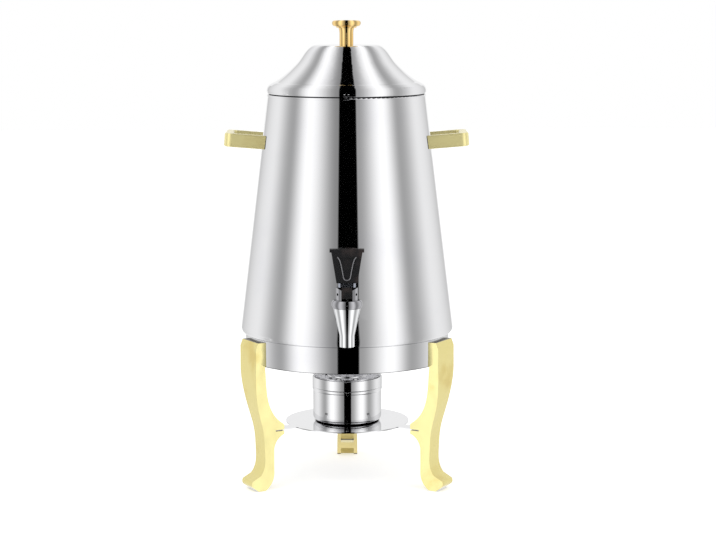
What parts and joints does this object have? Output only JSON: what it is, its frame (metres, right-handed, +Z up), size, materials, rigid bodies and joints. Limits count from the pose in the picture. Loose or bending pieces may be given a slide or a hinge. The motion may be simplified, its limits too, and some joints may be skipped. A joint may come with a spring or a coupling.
{
  "type": "coffee urn",
  "caption": "Tapered polished-steel coffee urn with a lift-off tank, bell lid, self-closing lever tap and loop handles, on a three-legged stand that holds a fuel burner.",
  "frame": {"origin": "on the floor under the feet, at the middle of the footprint's bounding box; the tank's upright axis is 22.05 mm behind it, because the tap reaches further forward than the rear foot does back", "axes": "+Z up, front with the tap towards -Y, +X to the right of someone who faces the tap"},
  "size_m": [0.2918, 0.3209, 0.5567],
  "materials": {
    "polished_steel": "mirror polished stainless steel",
    "plain_steel": "satin stainless steel",
    "gold_plate": "polished pale gold plate",
    "knob_brass": "polished brass",
    "tap_chrome": "bright chrome plate",
    "black_plastic": "black moulded plastic",
    "collar_grey": "dark blue-grey metal",
    "silicone": "translucent silicone",
    "gasket_black": "black fibre and rubber seals",
    "fixing_steel": "plain stainless fixings"
  },
  "bodies": {
    "stand": {"stand_ring": "polished_steel", "leg_left": "gold_plate", "leg_right": "gold_plate", "leg_rear": "gold_plate", "leg_screws": "fixing_steel", "leg_washers": "fixing_steel", "burner_shelf": "polished_steel", "shelf_screws": "fixing_steel"},
    "tank": {"tank_shell": "polished_steel", "tank_floor": "plain_steel", "tank_foot_rim": "plain_steel", "handle_left": "gold_plate", "handle_right": "gold_plate", "handle_gaskets": "gasket_black", "handle_screws": "fixing_steel", "handle_seals": "silicone", "tap_body": "tap_chrome", "tap_shank": "fixing_steel", "tap_gasket_outer": "gasket_black", "tap_gasket_inner": "silicone", "tap_washer": "fixing_steel", "tap_nut": "fixing_steel", "tap_bonnet": "tap_chrome", "lever_pin": "fixing_steel"},
    "lid": {"lid_shell": "polished_steel", "lid_spigot": "plain_steel", "lid_knob": "knob_brass", "knob_screw": "fixing_steel", "knob_washer": "fixing_steel"},
    "lever": {"tap_lever": "black_plastic", "lever_collar": "collar_grey"},
    "valve": {"tap_stem": "fixing_steel", "tap_seat_cup": "silicone", "tap_spring": "fixing_steel"},
    "burner": {"burner_cup": "polished_steel", "burner_cover": "polished_steel", "damper_rivet": "fixing_steel"},
    "damper": {"burner_damper": "polished_steel"}
  },
  "joints": [
    {"name": "tank_lift", "type": "slide", "parent": "stand", "child": "tank", "axis": [0, 0, 1], "range_m": [0, 0.06]},
    {"name": "lid_lift", "type": "slide", "parent": "tank", "child": "lid", "axis": [0, 0, 1], "range_m": [0, 0.08]},
    {"name": "lever_swing", "type": "hinge", "parent": "tank", "child": "lever", "pos_m": [0, -0.14895, 0.2526], "axis": [1, 0, 0], "range_deg": [0, 35], "stiffness_Nm_per_rad": 0.03, "springref_deg": -79.07},
    {"name": "valve_lift", "type": "slide", "parent": "tank", "child": "valve", "axis": [0, 0, 1], "range_m": [0, 0.0036], "stiffness_N_per_m": 3, "springref_m": 0.0275, "deforming": ["tap_spring"]},
    {"name": "burner_slide", "type": "slide", "parent": "stand", "child": "burner", "axis": [0, -1, 0], "range_m": [0, 0.15]},
    {"name": "damper_swing", "type": "hinge", "parent": "burner", "child": "damper", "pos_m": [0, 0.05555, 0.1287], "axis": [0, 0, -1], "range_deg": [0, 110]}
  ],
  "couplings": [
    {"joint": "valve_lift", "follows": "lever_swing", "m_per_rad": 0.0058}
  ]
}
